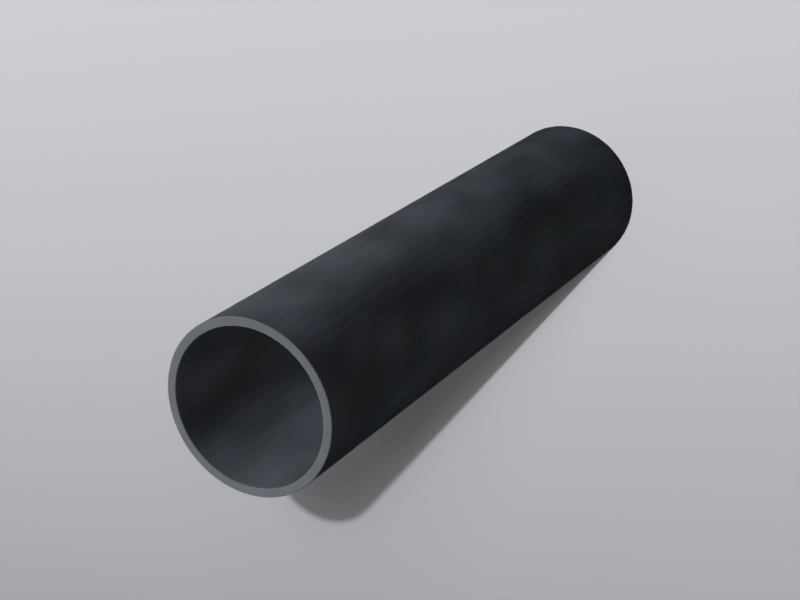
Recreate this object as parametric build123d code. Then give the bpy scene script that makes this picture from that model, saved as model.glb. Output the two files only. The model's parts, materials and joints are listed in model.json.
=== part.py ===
from build123d import *

import math
import os

# Round steel tube, one short length of structural tube with sawn and deburred ends.
# The tube stands on one end. Its axis is the Z axis, its lower end lies on Z = 0, and the
# origin is the centre of that end.
# All sizes are in millimetres.

# The section is a catalogue size of structural tube: 48.3 mm outside with a 2.5 mm wall.
OUTER_DIAMETER = 48.3
WALL = 2.5
LENGTH = 204.0

# A sawn end is deburred, which leaves a small round on each of its two edges.
OUTER_EDGE_ROUND = 0.25
INNER_EDGE_ROUND = 0.25

outer_radius = OUTER_DIAMETER / 2
inner_radius = outer_radius - WALL


def ring_section():
    """The tube's section, on the floor plane."""
    return Circle(outer_radius) - Circle(inner_radius)


def end_edges(tube, radius):
    """The two circles of the given radius where the tube's wall meets its sawn ends."""
    circles = tube.edges().filter_by(GeomType.CIRCLE)
    return circles.filter_by(lambda edge: math.isclose(edge.radius, radius))


def make_tube():
    """The section drawn up along the axis, with its four end edges deburred."""
    tube = extrude(ring_section(), amount=LENGTH)
    tube = fillet(end_edges(tube, outer_radius), OUTER_EDGE_ROUND)
    tube = fillet(end_edges(tube, inner_radius), INNER_EDGE_ROUND)
    return tube


os.makedirs("parts", exist_ok=True)
export_step(make_tube(), "parts/tube.step")
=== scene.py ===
import json
import math

import bpy
from mathutils import Matrix, Vector, noise


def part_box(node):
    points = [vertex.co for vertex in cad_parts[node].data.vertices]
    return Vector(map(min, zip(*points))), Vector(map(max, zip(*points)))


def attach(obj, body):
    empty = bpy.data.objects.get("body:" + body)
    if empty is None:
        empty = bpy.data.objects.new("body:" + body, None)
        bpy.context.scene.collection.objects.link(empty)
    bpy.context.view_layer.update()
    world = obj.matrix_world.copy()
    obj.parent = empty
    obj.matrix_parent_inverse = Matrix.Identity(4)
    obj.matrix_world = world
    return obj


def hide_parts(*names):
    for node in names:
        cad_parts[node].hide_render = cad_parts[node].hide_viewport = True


# Round steel tube with a dark mill-scale skin and plain sawn ends, standing on one end.
# The photograph shows the same tube lying on its side, so the camera takes the photograph's
# sight line and roll as seen from the tube. Sizes and places are in metres.

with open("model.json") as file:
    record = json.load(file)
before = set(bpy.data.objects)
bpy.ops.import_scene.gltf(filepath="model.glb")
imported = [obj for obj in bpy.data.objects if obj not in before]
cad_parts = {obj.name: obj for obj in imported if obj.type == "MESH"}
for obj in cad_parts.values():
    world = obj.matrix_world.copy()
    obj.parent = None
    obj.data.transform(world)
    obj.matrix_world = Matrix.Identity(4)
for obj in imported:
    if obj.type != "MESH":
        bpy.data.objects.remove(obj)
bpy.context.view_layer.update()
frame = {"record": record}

MM = 0.001

# The tube's sizes come from the frame, and its relief only ever goes into the metal.
tube_low, tube_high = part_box("tube")
mounts = {mount["name"]: mount for mount in frame["record"]["mounts"]}
OUTER_RADIUS = min(tube_high.x, tube_high.y, -tube_low.x, -tube_low.y)
BORE_RADIUS = mounts["bore"]["dims"]["r_mm"] * MM
LENGTH = tube_high.z
EDGE_ROUND = 0.25 * MM

# How finely the tube's mesh is divided. Rows lie closer together near the ends.
AROUND = 576
SKIN_ROWS = 76
BORE_ROWS = 54
FACE_ROWS = 8
ROUND_ROWS = 4
END_CROWDING = 0.7

# Relief of the rolled skin: long shallow waves, and evenly spaced lines that the rolls leave.
WAVE_DEPTH = 0.03 * MM
WAVE_AROUND = 14 * MM
WAVE_ALONG = 45 * MM
ROLL_LINES = 48
ROLL_LINE_DEPTH = 0.03 * MM
ROLL_LINE_TURN = math.radians(2.2)
END_FADE = 2 * MM

# The bore's relief is like the skin's, but shallower and turned by half the space between lines.
BORE_SHARE = 0.6
BORE_TURN = math.pi / ROLL_LINES

# Relief of a sawn face: arcs of a saw blade whose centre lies well outside the tube. They wander
# by so many radians of an arc's wave, over so many millimetres.
SAW_DEPTH = 0.008 * MM
SAW_PITCH = 0.9 * MM
SAW_WANDER = 2
SAW_WANDER_SIZE = 6 * MM
SAW_CENTRE = Vector((0.09, -0.12, 0))

# Cloudy patches of the mill scale, and of the tints that drift over it: their size, and a place in
# the noise chosen so that the larger light, dark, warm and cool areas lie much as they do in the
# photograph. The bore has places of its own.
SKIN_CLOUDS = {"around": 11.8 * MM, "along": 22.3 * MM, "shift": (41.72, 74.89, 84.79)}
SKIN_WARMTH = {"around": 11.0 * MM, "along": 20.0 * MM, "shift": (29.59, 19.22, 89.70)}
SKIN_GREENNESS = {"around": 12.0 * MM, "along": 24.0 * MM, "shift": (73.00, 40.08, 6.77)}
BORE_CLOUDS = {"around": 12.2 * MM, "along": 28.5 * MM, "shift": (21.22, 65.77, 67.59)}
BORE_WARMTH = {"around": 13.9 * MM, "along": 31.2 * MM, "shift": (88.00, 42.20, 98.50)}
BORE_GREENNESS = {"around": 12.6 * MM, "along": 31.3 * MM, "shift": (20.19, 47.28, 46.92)}

# The finer marks on the scale: lengthwise lines, and specks, which also roughen it.
LINES = {"around": 0.9 * MM, "along": 120 * MM, "shift": (3.1, 3.1, 3.1)}
SPECKS = {"around": 0.5 * MM, "along": 0.8 * MM, "shift": (1.7, 1.7, 1.7)}
SPECK_HEIGHT = 0.012 * MM

# How rough the scale is where its clouds are darkest and where they are lightest.
ROUGHNESS_OF_DARK = 0.66
ROUGHNESS_OF_LIGHT = 0.47

# Colours of the mill scale, and the tints that drift over it and multiply them.
SKIN_DARK = (0.0400, 0.0457, 0.0542, 1)
SKIN_LIGHT = (0.0790, 0.0900, 0.1070, 1)
BORE_DARK = (0.0412, 0.0460, 0.0535, 1)
BORE_LIGHT = (0.0812, 0.0894, 0.1058, 1)
WARM_TINT = (1.04, 1.0, 0.96, 1)
COOL_TINT = (0.955, 1.0, 1.055, 1)
GREEN_TINT = (0.957, 1.043, 0.965, 1)
VIOLET_TINT = (1.025, 0.965, 1.04, 1)
WHITE = (1, 1, 1, 1)
LINE_SHADE = (0.95, 0.95, 0.95, 1)
SPECK_SHADE = (0.89, 0.89, 0.89, 1)

# Bare steel on the sawn ends: its clouds and their colours, and its grain with its roughness.
STEEL_CLOUDS = {"around": 5 * MM, "along": 5 * MM, "shift": (2.0, 2.0, 2.0)}
STEEL_DARK = (0.158, 0.173, 0.192, 1)
STEEL_LIGHT = (0.178, 0.194, 0.215, 1)
STEEL_GRAIN = {"around": 0.25 * MM, "along": 0.25 * MM, "shift": (5.0, 5.0, 5.0)}
STEEL_GRAIN_HEIGHT = 0.006 * MM
STEEL_SMOOTHEST = 0.58
STEEL_ROUGHEST = 0.70

# The tube's materials by number, and how far a face looks up or down to be bare steel.
SKIN = 0
BORE = 1
STEEL = 2
STEEL_FROM = math.cos(math.radians(45))

# The noise runs from 0 to 1, but hardly ever leaves this range.
NOISE_LOW = 0.3
NOISE_HIGH = 0.7

# The colour sockets of the mix node share their names with others, so they go by number.
MIX_SHARE = 0
MIX_FIRST = 6
MIX_SECOND = 7
MIX_RESULT = 2

# The photograph's directions, in the frame of the standing tube.
PHOTO_ALONG = Vector((0, 0, -1))
PHOTO_RIGHT = Vector((-1, 0, 0))
PHOTO_UP = Vector((0, -1, 0))

# Where the photograph's camera is, from the centre of the tube's near end, and how it looks. The
# lens and the sensor are in millimetres.
CAMERA_BEFORE_END = 0.3368
CAMERA_RIGHT = 0.2208
CAMERA_ABOVE_AXIS = 0.1792
CAMERA_TURN_LEFT = math.radians(27.855)
CAMERA_TILT_DOWN = math.radians(20.561)
CAMERA_LENS = 79.31
SENSOR_WIDTH = 36

# The floor runs out to a pale wall, which hides the horizon.
FLOOR_RADIUS = 8.0
WALL_HEIGHT = 5.0
WALL_SIDES = 96
WALL_TONE = (0.631, 0.643, 0.670, 1)

# The floor's tone falls off along this direction, which runs down the photograph: painted shade, a
# falloff of light painted into the paper. Outside the photograph it comes back to pale, by how far it
# is from the tube.
FLOOR_PAINTED_FALLOFF = (-0.194, 0.981, 0)
FLOOR_PAINTED_FALLOFF_START = -0.21
FLOOR_PAINTED_FALLOFF_END = 0.32
FLOOR_PALE_FROM = 0.42
FLOOR_PALE_AGAIN = 2.0
FLOOR_LIGHT_TONE = (0.790, 0.805, 0.840, 1)
FLOOR_PAINTED_SHADE_TONE = (0.380, 0.387, 0.409, 1)

# The lights stand round the middle of the tube, those of the floor far away. The three that throw
# the tube's shadow come from one direction, in degrees.
LIGHT_TARGET = Vector((0, 0, LENGTH / 2))
FLOOR_LIGHT_DISTANCE = 6.0
KEY_AZIMUTH = -38
KEY_ELEVATION = 51.9

# The studio's own dim light, by height in the sky, from -1 straight below to 1 straight above. From
# the horizon down it falls to a small share of its brightness there.
HORIZON_LIGHT = 0.15
OVERHEAD_LIGHT = 0.06
OVERHEAD_FROM = 0.30
DARK_BELOW = -0.35
FLOOR_SIDE_SHARE = 0.02


def node(tree, kind, inputs=None, **settings):
    """A new node with its settings. Each input, by name or number, gets a value or a link."""
    made = tree.nodes.new(kind)
    for name, value in settings.items():
        setattr(made, name, value)
    for name, value in (inputs or {}).items():
        join(tree, value, made.inputs[name])
    return made


def join(tree, value, socket):
    """Links a socket to the input, or sets the input to a plain value."""
    if isinstance(value, bpy.types.NodeSocket):
        tree.links.new(value, socket)
    else:
        socket.default_value = value


def patches(tree, around, along, shift, detail):
    """A soft noise from 0 to 1, with patches of one size around the tube and another along it."""
    place = node(tree, "ShaderNodeTexCoord").outputs["Object"]
    stretched = node(tree, "ShaderNodeMapping", {
        "Vector": place,
        "Location": shift,
        "Scale": (1 / around, 1 / around, 1 / along),
    }).outputs["Vector"]
    return node(tree, "ShaderNodeTexNoise", {
        "Vector": stretched,
        "Scale": 1.0,
        "Detail": detail,
        "Roughness": 0.5,
    }).outputs["Fac"]


def spread(tree, value, low=0.0, high=1.0):
    """The noise's usual range, stretched to run from low to high."""
    return node(tree, "ShaderNodeMapRange", {
        "Value": value,
        "From Min": NOISE_LOW,
        "From Max": NOISE_HIGH,
        "To Min": low,
        "To Max": high,
    }).outputs["Result"]


def smooth_step(tree, value, start, end, low=0.0, high=1.0):
    """A number that goes smoothly from low to high as the value goes from start to end."""
    return node(tree, "ShaderNodeMapRange", {
        "Value": value,
        "From Min": start,
        "From Max": end,
        "To Min": low,
        "To Max": high,
    }, interpolation_type="SMOOTHSTEP").outputs["Result"]


def product(tree, first, second):
    """Two numbers multiplied."""
    return node(tree, "ShaderNodeMath", {0: first, 1: second}, operation="MULTIPLY").outputs[0]


def blend(tree, share, first, second, mode="MIX"):
    """Two colours mixed by a share, which is a socket or a number."""
    return node(tree, "ShaderNodeMix", {
        MIX_SHARE: share,
        MIX_FIRST: first,
        MIX_SECOND: second,
    }, data_type="RGBA", blend_type=mode).outputs[MIX_RESULT]


def bump(tree, height, distance):
    """A bump whose height of 1 stands for the given distance."""
    return node(tree, "ShaderNodeBump", {"Height": height, "Distance": distance}).outputs["Normal"]


def new_material(name):
    """An empty node material and its tree."""
    material = bpy.data.materials.new(name)
    material.use_nodes = True
    material.node_tree.nodes.clear()
    return material, material.node_tree


def show(tree, shader):
    """Shows a shader's result on the material's surface."""
    node(tree, "ShaderNodeOutputMaterial", {"Surface": shader.outputs[0]})


def mill_scale(name, dark, light, clouds, warm_areas, green_areas):
    """Dark blue-grey oxide with soft cloudy patches, drifting tints, fine lines and specks."""
    material, tree = new_material(name)
    cloud = patches(tree, **clouds, detail=1)
    warmth = patches(tree, **warm_areas, detail=1)
    greenness = patches(tree, **green_areas, detail=1)
    lines = patches(tree, **LINES, detail=2)
    specks = patches(tree, **SPECKS, detail=3)
    tone = blend(tree, spread(tree, cloud), dark, light)
    shades = (
        blend(tree, spread(tree, warmth), WARM_TINT, COOL_TINT),
        blend(tree, spread(tree, greenness), GREEN_TINT, VIOLET_TINT),
        blend(tree, spread(tree, lines), WHITE, LINE_SHADE),
        blend(tree, spread(tree, specks), WHITE, SPECK_SHADE),
    )
    for shade in shades:
        tone = blend(tree, 1.0, tone, shade, mode="MULTIPLY")
    show(tree, node(tree, "ShaderNodeBsdfPrincipled", {
        "Base Color": tone,
        "Roughness": spread(tree, cloud, ROUGHNESS_OF_DARK, ROUGHNESS_OF_LIGHT),
        "Specular IOR Level": 0.35,
        "Normal": bump(tree, specks, SPECK_HEIGHT),
    }))
    return material


def sawn_steel():
    """Bare grey steel as a saw leaves it, with a faint cloudiness and a fine grain."""
    material, tree = new_material("sawn_steel")
    cloud = patches(tree, **STEEL_CLOUDS, detail=3)
    grain = patches(tree, **STEEL_GRAIN, detail=2)
    show(tree, node(tree, "ShaderNodeBsdfPrincipled", {
        "Base Color": blend(tree, spread(tree, cloud), STEEL_DARK, STEEL_LIGHT),
        "Metallic": 0.3,
        "Roughness": spread(tree, grain, STEEL_SMOOTHEST, STEEL_ROUGHEST),
        "Normal": bump(tree, grain, STEEL_GRAIN_HEIGHT),
    }))
    return material


def end_fade(height):
    """0 at either end of the tube and 1 a little way in, so that the relief dies out at the rounds."""
    inside = min(height, LENGTH - height) - EDGE_ROUND
    share = min(max(inside / END_FADE, 0.0), 1.0)
    return share * share * (3 - 2 * share)


def skin_depth(angle, height):
    """How deep the rolled skin lies at a place: waves and roll lines, both from 0 to their depth."""
    x, y = OUTER_RADIUS * math.cos(angle), OUTER_RADIUS * math.sin(angle)
    wave = noise.noise(Vector((x / WAVE_AROUND, y / WAVE_AROUND, height / WAVE_ALONG)))
    line = math.sin(ROLL_LINES * (angle - ROLL_LINE_TURN))
    depth = WAVE_DEPTH * (0.5 + 0.5 * wave) + ROLL_LINE_DEPTH * (0.5 + 0.5 * line)
    return depth * end_fade(height)


def saw_depth(x, y, share_across):
    """How deep the saw's arcs lie at a place on an end, dying out at both edges of the wall."""
    from_centre = (Vector((x, y, 0)) - SAW_CENTRE).length
    wander = SAW_WANDER * noise.noise(Vector((x, y, 0)) / SAW_WANDER_SIZE)
    arc = 0.5 + 0.5 * math.sin(2 * math.pi * from_centre / SAW_PITCH + wander)
    return SAW_DEPTH * arc * math.sin(math.pi * share_across)


def round_points(centre_radius, centre_height, start_degrees):
    """The inner points of a quarter round in the tube's profile, without its two ends."""
    points = []
    for row in range(1, ROUND_ROWS):
        turn = math.radians(start_degrees + 90 * row / ROUND_ROWS)
        radius = centre_radius + EDGE_ROUND * math.cos(turn)
        height = centre_height + EDGE_ROUND * math.sin(turn)
        points.append((radius, height, "round", 0.0))
    return points


def straight_points(start, end, rows, part, crowding=0.0):
    """Points from start to end, both included, with the share of the way that each has gone."""
    points = []
    for row in range(rows + 1):
        even = row / rows
        share = even - crowding * math.sin(2 * math.pi * even) / (2 * math.pi)
        radius = start[0] + (end[0] - start[0]) * share
        height = start[1] + (end[1] - start[1]) * share
        points.append((radius, height, part, share))
    return points


def tube_profile():
    """The closed outline of the wall, as radius, height, part and share, up the outside first."""
    low, high = EDGE_ROUND, LENGTH - EDGE_ROUND
    outer_in, bore_out = OUTER_RADIUS - EDGE_ROUND, BORE_RADIUS + EDGE_ROUND
    return (
        straight_points((OUTER_RADIUS, low), (OUTER_RADIUS, high), SKIN_ROWS, "skin", END_CROWDING)
        + round_points(outer_in, high, 0)
        + straight_points((outer_in, LENGTH), (bore_out, LENGTH), FACE_ROWS, "top")
        + round_points(bore_out, high, 90)
        + straight_points((BORE_RADIUS, high), (BORE_RADIUS, low), BORE_ROWS, "bore", END_CROWDING)
        + round_points(bore_out, low, 180)
        + straight_points((bore_out, 0), (outer_in, 0), FACE_ROWS, "bottom")
        + round_points(outer_in, low, 270)
    )


def place_point(radius, height, part, share, angle):
    """The point at one angle of the outline, sunk into the metal by its relief."""
    if part == "skin":
        radius -= skin_depth(angle, height)
    elif part == "bore":
        radius += BORE_SHARE * skin_depth(angle - BORE_TURN, height)
    x, y = radius * math.cos(angle), radius * math.sin(angle)
    if part == "top":
        height -= saw_depth(x, y, share)
    elif part == "bottom":
        height += saw_depth(x, y, share)
    return x, y, height


def make_tube():
    """The tube as one closed mesh, its outline turned round the axis."""
    profile = tube_profile()
    rows = len(profile)
    points = []
    for step in range(AROUND):
        angle = 2 * math.pi * step / AROUND
        points += [place_point(*outline_point, angle) for outline_point in profile]
    faces = []
    for step in range(AROUND):
        here, there = step * rows, (step + 1) % AROUND * rows
        for row in range(rows):
            after = (row + 1) % rows
            faces.append((here + row, there + row, there + after, here + after))
    mesh = bpy.data.meshes.new("steel_tube")
    mesh.from_pydata(points, [], faces)
    finish_tube_mesh(mesh)
    tube = bpy.data.objects.new("steel_tube", mesh)
    bpy.context.scene.collection.objects.link(tube)
    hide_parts("tube")
    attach(tube, "root")
    return tube


def material_number(face):
    """Bare steel on an end, as far as halfway round its edges, or else the skin or the bore."""
    if abs(face.normal.z) > STEEL_FROM:
        return STEEL
    from_axis = math.hypot(face.center.x, face.center.y)
    return BORE if from_axis < (OUTER_RADIUS + BORE_RADIUS) / 2 else SKIN


def finish_tube_mesh(mesh):
    """Mill scale on the skin and in the bore, and bare steel on the ends."""
    materials = {
        SKIN: mill_scale("skin_scale", SKIN_DARK, SKIN_LIGHT, SKIN_CLOUDS, SKIN_WARMTH, SKIN_GREENNESS),
        BORE: mill_scale("bore_scale", BORE_DARK, BORE_LIGHT, BORE_CLOUDS, BORE_WARMTH, BORE_GREENNESS),
        STEEL: sawn_steel(),
    }
    for number in sorted(materials):
        mesh.materials.append(materials[number])
    for face in mesh.polygons:
        face.material_index = material_number(face)
        face.use_smooth = True


def make_camera():
    """The camera at the photograph's place, direction and roll as seen from the tube."""
    data = bpy.data.cameras.new("camera")
    data.lens = CAMERA_LENS
    data.sensor_width = SENSOR_WIDTH
    data.clip_start = 0.01
    camera = bpy.data.objects.new("camera", data)
    bpy.context.scene.collection.objects.link(camera)
    near_end = Vector((0, 0, LENGTH))
    place = (near_end - PHOTO_ALONG * CAMERA_BEFORE_END + PHOTO_RIGHT * CAMERA_RIGHT
             + PHOTO_UP * CAMERA_ABOVE_AXIS)
    level = PHOTO_ALONG * math.cos(CAMERA_TURN_LEFT) - PHOTO_RIGHT * math.sin(CAMERA_TURN_LEFT)
    forward = level * math.cos(CAMERA_TILT_DOWN) - PHOTO_UP * math.sin(CAMERA_TILT_DOWN)
    side = forward.cross(PHOTO_UP).normalized()
    axes = Matrix((side, side.cross(forward), -forward)).transposed()
    camera.matrix_world = Matrix.Translation(place) @ axes.to_4x4()
    bpy.context.scene.camera = camera


def painted_falloff_paper():
    """Plain pale paper with painted shade: its tone falls off down the photograph as it does there."""
    material, tree = new_material("painted_falloff_paper")
    place = node(tree, "ShaderNodeTexCoord").outputs["Object"]
    down_photo = node(tree, "ShaderNodeVectorMath", {0: place, 1: FLOOR_PAINTED_FALLOFF},
                      operation="DOT_PRODUCT").outputs["Value"]
    from_tube = node(tree, "ShaderNodeVectorMath", {0: place}, operation="LENGTH").outputs["Value"]
    # Painted shade: the paper darkens down the photograph near the tube, standing in for a falloff of
    # light.
    painted_shade = smooth_step(tree, down_photo, FLOOR_PAINTED_FALLOFF_START, FLOOR_PAINTED_FALLOFF_END)
    nearness = smooth_step(tree, from_tube, FLOOR_PALE_AGAIN, FLOOR_PALE_FROM)
    share = product(tree, painted_shade, nearness)
    show(tree, node(tree, "ShaderNodeBsdfPrincipled", {
        "Base Color": blend(tree, share, FLOOR_LIGHT_TONE, FLOOR_PAINTED_SHADE_TONE),
        "Roughness": 0.9,
        "Specular IOR Level": 0.1,
    }))
    return material


def wall_paper():
    """The pale wall's even tone, which needs no light of its own."""
    material, tree = new_material("wall_paper")
    show(tree, node(tree, "ShaderNodeEmission", {"Color": WALL_TONE}))
    return material


def make_stage_piece(name, points, faces, material):
    """A piece of the studio that throws no light onto the tube and doesn't show in its gloss."""
    mesh = bpy.data.meshes.new(name)
    mesh.from_pydata(points, [], faces)
    mesh.materials.append(material)
    piece = bpy.data.objects.new(name, mesh)
    bpy.context.scene.collection.objects.link(piece)
    piece.visible_glossy = False
    piece.visible_diffuse = False
    piece.visible_shadow = False
    return piece


def make_studio():
    """A wide plain floor that the tube stands on, and the pale wall all round it."""
    turns = [2 * math.pi * side / WALL_SIDES for side in range(WALL_SIDES)]
    low = [(FLOOR_RADIUS * math.cos(turn), FLOOR_RADIUS * math.sin(turn), 0) for turn in turns]
    high = [(x, y, WALL_HEIGHT) for x, y, _ in low]
    sides = []
    for side in range(WALL_SIDES):
        after = (side + 1) % WALL_SIDES
        sides.append((after, side, side + WALL_SIDES, after + WALL_SIDES))
    make_stage_piece("wall", low + high, sides, wall_paper())
    return make_stage_piece("floor", low, [tuple(range(WALL_SIDES))], painted_falloff_paper())


def place_light(name, data, lit, azimuth, elevation, distance):
    """Aims a light at the tube, to light one object. Azimuth, in degrees, goes from -Y towards +X."""
    light = bpy.data.objects.new(name, data)
    bpy.context.scene.collection.objects.link(light)
    turn, rise = math.radians(azimuth), math.radians(elevation)
    level = Vector((math.sin(turn), -math.cos(turn), 0))
    direction = level * math.cos(rise) + Vector((0, 0, math.sin(rise)))
    facing = direction.to_track_quat("Z", "Y").to_matrix().to_4x4()
    light.matrix_world = Matrix.Translation(LIGHT_TARGET + direction * distance) @ facing
    lit_only = bpy.data.collections.new(name + "_lights")
    lit_only.objects.link(lit)
    light.light_linking.receiver_collection = lit_only


def soft_light(name, lit, azimuth, elevation, distance, size, power):
    """A soft round light near by, which casts no shadow."""
    data = bpy.data.lights.new(name, "AREA")
    data.shape = "DISK"
    data.size = size
    data.energy = power
    data.use_shadow = False
    place_light(name, data, lit, azimuth, elevation, distance)


def even_light(name, lit, azimuth, elevation, width, strength, shadows=True):
    """A light that is as strong all over the floor, and so many degrees wide in the sky."""
    data = bpy.data.lights.new(name, "SUN")
    data.angle = math.radians(width)
    data.energy = strength
    data.use_shadow = shadows
    place_light(name, data, lit, azimuth, elevation, FLOOR_LIGHT_DISTANCE)


def light_floor(floor):
    """A narrow key light, two wider ones for the shadow's soft edge, and a weak fill within it."""
    even_light("floor_key", floor, KEY_AZIMUTH, KEY_ELEVATION, width=0.67, strength=1.75)
    even_light("floor_wash", floor, KEY_AZIMUTH, KEY_ELEVATION, width=6, strength=0.5)
    even_light("floor_halo", floor, KEY_AZIMUTH, KEY_ELEVATION, width=25, strength=0.7)
    even_light("floor_fill", floor, azimuth=0, elevation=85, width=20, strength=0.09, shadows=False)


def light_tube(tube):
    """A light from the photograph's upper left, a weak fill, one from above and one from behind."""
    soft_light("tube_side", tube, azimuth=38.5, elevation=21, distance=0.42, size=0.13, power=1.43)
    soft_light("tube_fill", tube, azimuth=-80, elevation=20, distance=2, size=1.0, power=5.2)
    soft_light("tube_top", tube, azimuth=0, elevation=88, distance=2, size=0.8, power=10.8)
    soft_light("tube_back", tube, azimuth=135, elevation=20, distance=2, size=0.8, power=18)


def make_world():
    """A dim studio all round: pale near the horizon, dimmer overhead and dark below."""
    world = bpy.data.worlds.new("studio")
    bpy.context.scene.world = world
    world.use_nodes = True
    tree = world.node_tree
    tree.nodes.clear()
    direction = node(tree, "ShaderNodeTexCoord").outputs["Generated"]
    height = node(tree, "ShaderNodeSeparateXYZ", {"Vector": direction}).outputs["Z"]
    above = smooth_step(tree, height, 0.0, OVERHEAD_FROM, HORIZON_LIGHT, OVERHEAD_LIGHT)
    below = smooth_step(tree, height, DARK_BELOW, 0.0, FLOOR_SIDE_SHARE, 1.0)
    strength = product(tree, above, below)
    background = node(tree, "ShaderNodeBackground", {"Color": WHITE, "Strength": strength})
    node(tree, "ShaderNodeOutputWorld", {"Surface": background.outputs[0]})


tube = make_tube()
floor = make_studio()
make_camera()
make_world()
light_floor(floor)
light_tube(tube)
bpy.context.scene.view_settings.view_transform = "Standard"
